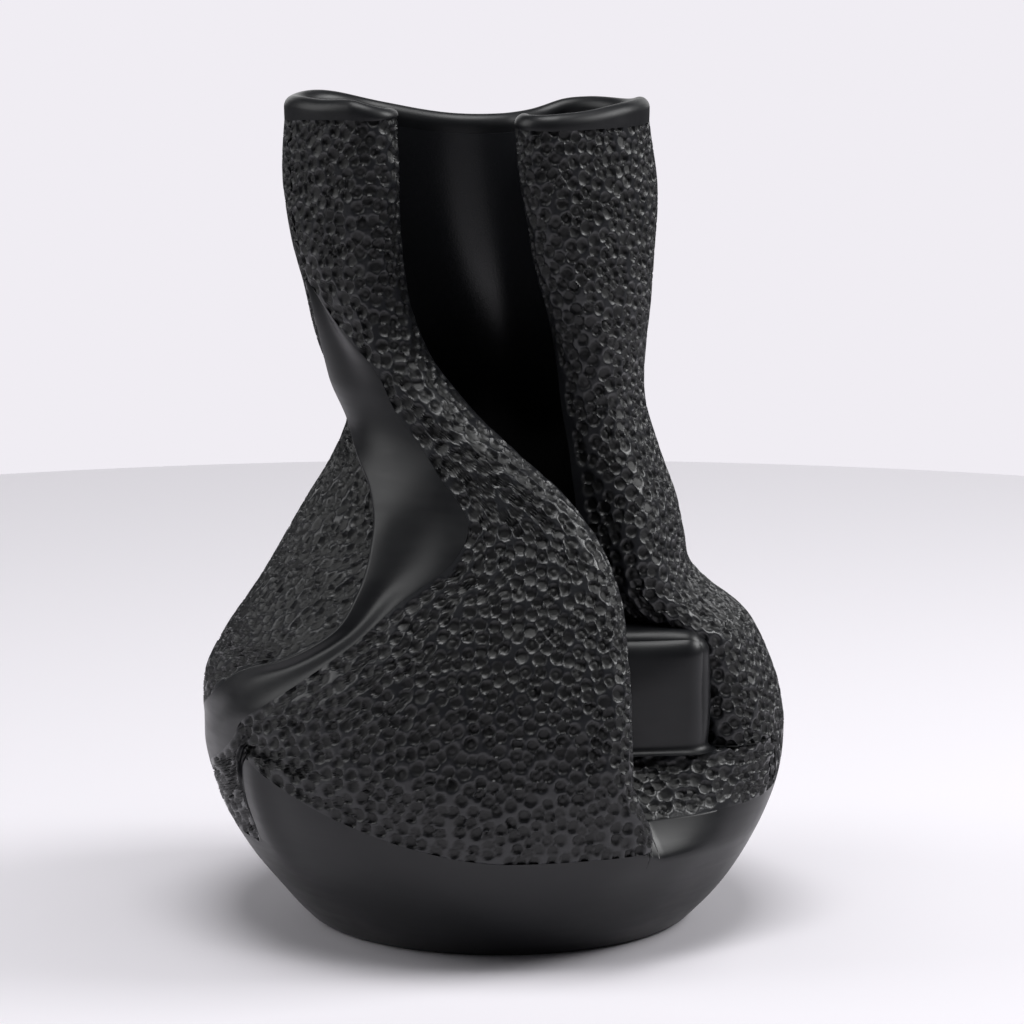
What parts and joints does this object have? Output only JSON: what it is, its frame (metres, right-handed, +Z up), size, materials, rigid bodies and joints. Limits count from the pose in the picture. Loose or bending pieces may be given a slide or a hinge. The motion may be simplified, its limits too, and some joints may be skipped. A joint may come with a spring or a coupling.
{
  "type": "hand-built clay vase",
  "caption": "Hand-built black clay vase with a round belly and folded neck, stamped walls that overlap round an open front, a burnished winding band and rim, and a block in the fold.",
  "frame": {"origin": "centre of the round foot, on the surface that the vase stands on", "axes": "+Z up, -Y towards the open front where the flap passes over the right wall, +X to the viewer's right"},
  "size_m": [0.2042, 0.2007, 0.2921],
  "materials": {
    "burnished_clay": "reduction-fired black earthenware, rubbed to a satin shine before firing",
    "stamped_clay": "reduction-fired black earthenware, stamped all over with small tube marks, dull to satin"
  },
  "bodies": {
    "root": {"base_bowl": "burnished_clay", "valley_ledge": "stamped_clay", "right_wall": "stamped_clay", "back_wall": "stamped_clay", "rear_left_wall": "stamped_clay", "burnished_band": "burnished_clay", "front_flap": "stamped_clay", "valley_block": "burnished_clay", "rim_coil": "burnished_clay"}
  },
  "joints": []
}
